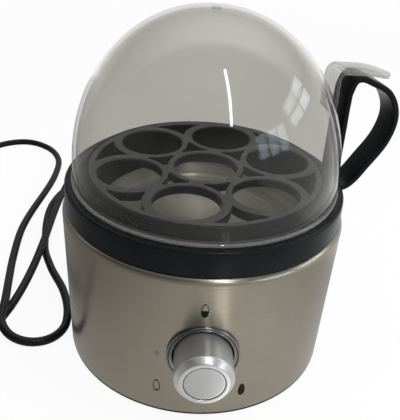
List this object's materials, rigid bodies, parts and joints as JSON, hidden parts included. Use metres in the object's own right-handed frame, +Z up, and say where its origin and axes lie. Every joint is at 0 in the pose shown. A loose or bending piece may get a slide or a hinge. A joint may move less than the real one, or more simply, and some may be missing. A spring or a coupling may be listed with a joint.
{
  "type": "electric egg cooker",
  "caption": "Round electric egg cooker: steel base with a heated dish, lift-out egg tray with a loop handle, clear dome lid, turning hardness knob with a push button, and a mains lead.",
  "frame": {"origin": "on the body's vertical axis, at the table on which the foot ring stands", "axes": "+Z up, -Y towards the knob at the front, +X towards the carrier handle at the right"},
  "size_m": [0.326, 0.3814, 0.2074],
  "materials": {
    "sleeve_steel": "brushed round the body",
    "dish_steel": "satin",
    "fastener_steel": "zinc plated",
    "black_plastic": "satin",
    "inner_plastic": "matte",
    "black_rubber": "matte",
    "seal_silicone": "matte",
    "spreader_aluminium": "rolled",
    "element_steel": "heat darkened",
    "contact_brass": "plated",
    "thermostat_resin": "moulded resin",
    "fuse_ceramic": "glazed",
    "control_plastic": "moulded",
    "board_green": "lacquered",
    "relay_blue": "moulded",
    "wire_red": "silicone",
    "bezel_chrome": "polished",
    "knob_metal": "satin",
    "lamp_teal": "translucent",
    "clear_plastic": "clear"
  },
  "bodies": {
    "base": {"steel_sleeve": "sleeve_steel", "base_plate": "black_plastic", "foot_ring": "black_rubber", "base_screws": "fastener_steel", "top_frame": "inner_plastic", "heating_dish": "dish_steel", "dish_seal": "seal_silicone", "heat_spreader": "spreader_aluminium", "heating_element": "element_steel", "element_terminals": "contact_brass", "thermostat": "thermostat_resin", "thermostat_bracket": "fastener_steel", "thermal_fuse": "fuse_ceramic", "fuse_clip": "fastener_steel", "dish_studs": "fastener_steel", "shield_spacers": "spreader_aluminium", "heat_shield": "spreader_aluminium", "stud_nuts": "fastener_steel", "control_bracket": "fastener_steel", "bracket_screws": "fastener_steel", "rotary_control": "control_plastic", "control_nut": "fastener_steel", "control_board": "board_green", "board_spacers": "fuse_ceramic", "board_screws": "fastener_steel", "push_switch": "inner_plastic", "relay": "relay_blue", "capacitor": "relay_blue", "buzzer": "inner_plastic", "terminal_block": "control_plastic", "inner_lead": "black_rubber", "element_wires": "wire_red", "cord_gland": "black_rubber", "cord_clamp": "inner_plastic", "clamp_screws": "fastener_steel", "knob_bezel": "bezel_chrome", "pilot_lens": "lamp_teal", "pilot_led": "lamp_teal", "power_cord": "black_rubber", "plug_body": "black_rubber", "plug_pins": "contact_brass"},
    "knob_body": {"knob": "knob_metal", "control_shaft": "fastener_steel"},
    "button_body": {"push_button": "knob_metal", "button_rod": "fastener_steel"},
    "carrier": {"carrier_ring": "black_plastic", "egg_tray": "black_plastic", "egg_collars": "black_plastic", "carrier_handle": "black_plastic", "handle_screws": "fastener_steel"},
    "lid": {"lid_dome": "clear_plastic"}
  },
  "joints": [
    {"name": "knob_turn", "type": "hinge", "parent": "base", "child": "knob_body", "pos_m": [0, -0.09, 0.0465], "axis": [0, 1, 0], "range_deg": [-135, 135]},
    {"name": "button_press", "type": "slide", "parent": "knob_body", "child": "button_body", "axis": [0, 1, 0], "range_m": [0, 0.002], "stiffness_N_per_m": 800},
    {"name": "carrier_lift", "type": "slide", "parent": "base", "child": "carrier", "axis": [0, 0, 1], "range_m": [0, 0.12]},
    {"name": "lid_lift", "type": "slide", "parent": "carrier", "child": "lid", "axis": [0, 0, 1], "range_m": [0, 0.12]}
  ]
}
